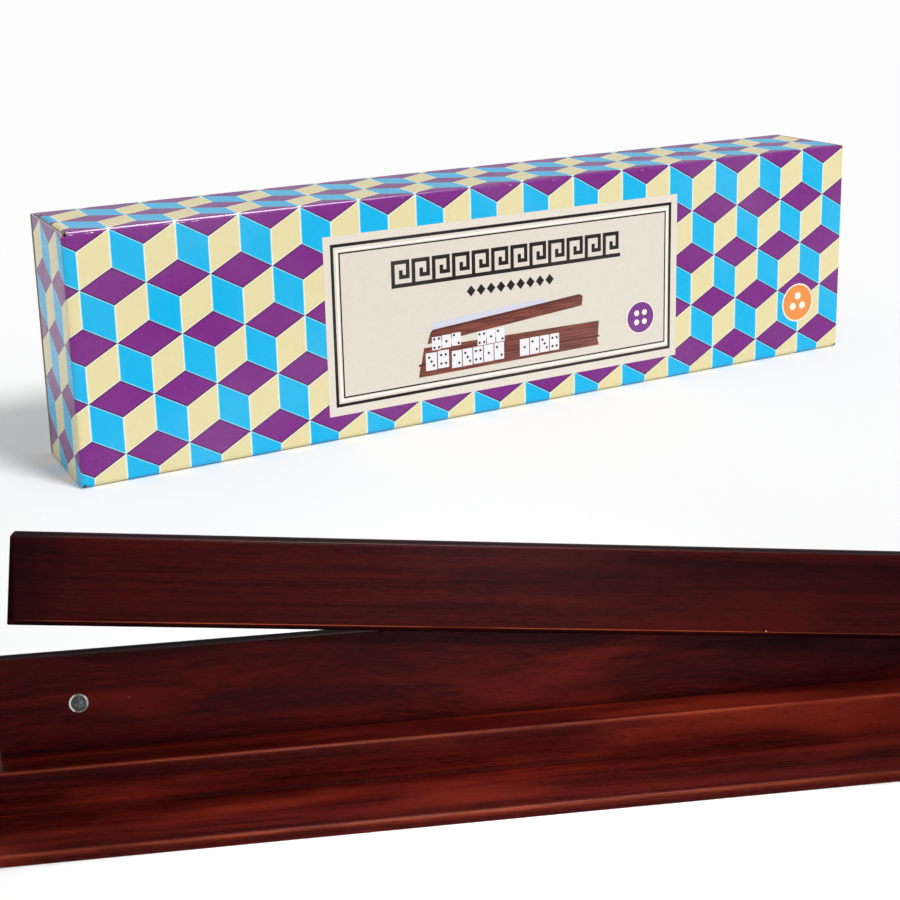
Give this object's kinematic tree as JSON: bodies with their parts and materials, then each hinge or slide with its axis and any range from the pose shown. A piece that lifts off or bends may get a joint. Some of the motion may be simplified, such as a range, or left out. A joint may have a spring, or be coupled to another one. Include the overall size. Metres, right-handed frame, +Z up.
{
  "type": "tile rack set in a carton",
  "caption": "Printed tuck-end carton with tiered wooden tile racks stored in it, and one rack in front with its swinging pusher bar ajar.",
  "frame": {"origin": "centre of the carton's bottom face, on the table", "axes": "+X along the carton to its right end, +Y to its back, +Z up; the loose rack stands in front, at -Y"},
  "size_m": [0.5807, 0.5141, 0.1268],
  "materials": {
    "printed_board": "gloss varnished print in purple, cyan and cream over kraft board",
    "moulding_wood": "dark red mahogany stain, satin lacquer, straight grain",
    "panel_wood": "dark red mahogany stain, satin lacquer, swirling grain",
    "bar_wood": "dark red mahogany stain, satin lacquer, straight grain",
    "screw_steel": "nickel-plated shoulder screw",
    "washer_steel": "plain plated steel",
    "cup_nickel": "bright nickel",
    "magnet_ferrite": "matt grey-black ferrite",
    "strike_steel": "plain plated steel"
  },
  "bodies": {
    "carton": {"carton_sleeve": "printed_board", "lower_rack_moulding": "moulding_wood", "lower_rack_back_board": "panel_wood", "lower_rack_pusher": "bar_wood", "middle_rack_moulding": "moulding_wood", "middle_rack_back_board": "panel_wood", "middle_rack_pusher": "bar_wood", "upper_rack_moulding": "moulding_wood", "upper_rack_back_board": "panel_wood", "upper_rack_pusher": "bar_wood", "stored_pivot_screws": "screw_steel", "stored_pivot_washers": "washer_steel", "stored_magnet_cups": "cup_nickel", "stored_magnet_cores": "magnet_ferrite", "stored_strike_discs": "strike_steel"},
    "left_closure": {"left_closure": "printed_board"},
    "right_closure": {"right_closure": "printed_board"},
    "left_top_flap": {"left_top_flap": "printed_board"},
    "left_bottom_flap": {"left_bottom_flap": "printed_board"},
    "right_top_flap": {"right_top_flap": "printed_board"},
    "right_bottom_flap": {"right_bottom_flap": "printed_board"},
    "rack": {"rack_moulding": "moulding_wood", "rack_back_board": "panel_wood", "rack_pivot_screw": "screw_steel", "rack_pivot_washer": "washer_steel", "rack_magnet_cup": "cup_nickel", "rack_magnet_core": "magnet_ferrite"},
    "pusher": {"rack_pusher": "bar_wood", "rack_strike_disc": "strike_steel"}
  },
  "joints": [
    {"name": "left_closure_hinge", "type": "hinge", "parent": "carton", "child": "left_closure", "pos_m": [-0.2368, -0.02975, 0.06339], "axis": [0, 0, 1], "range_deg": [0, 120]},
    {"name": "left_bottom_flap_fold", "type": "hinge", "parent": "carton", "child": "left_bottom_flap", "pos_m": [-0.235, 0, 0.0015], "axis": [0, -1, 0], "range_deg": [0, 90]},
    {"name": "left_top_flap_fold", "type": "hinge", "parent": "carton", "child": "left_top_flap", "pos_m": [-0.235, 0, 0.12529], "axis": [0, 1, 0], "range_deg": [0, 90]},
    {"name": "right_closure_hinge", "type": "hinge", "parent": "carton", "child": "right_closure", "pos_m": [0.2368, -0.02975, 0.06339], "axis": [0, 0, -1], "range_deg": [0, 120]},
    {"name": "right_bottom_flap_fold", "type": "hinge", "parent": "carton", "child": "right_bottom_flap", "pos_m": [0.235, 0, 0.0015], "axis": [0, 1, 0], "range_deg": [0, 90]},
    {"name": "right_top_flap_fold", "type": "hinge", "parent": "carton", "child": "right_top_flap", "pos_m": [0.235, 0, 0.12529], "axis": [0, -1, 0], "range_deg": [0, 90]},
    {"name": "rack_slide", "type": "slide", "parent": "carton", "child": "rack", "axis": [0, 1, 0], "range_m": [0, 0.18]},
    {"name": "pusher_pivot", "type": "hinge", "parent": "rack", "child": "pusher", "pos_m": [0.08626, -0.43282, 0.02663], "axis": [0.3426, 0.9162, -0.2079], "range_deg": [-5.5, 80]}
  ],
  "couplings": [
    {"joint": "left_top_flap_fold", "follows": "left_closure_hinge", "ratio": 0.75},
    {"joint": "left_bottom_flap_fold", "follows": "left_closure_hinge", "ratio": 0.75},
    {"joint": "right_top_flap_fold", "follows": "right_closure_hinge", "ratio": 0.75},
    {"joint": "right_bottom_flap_fold", "follows": "right_closure_hinge", "ratio": 0.75}
  ]
}
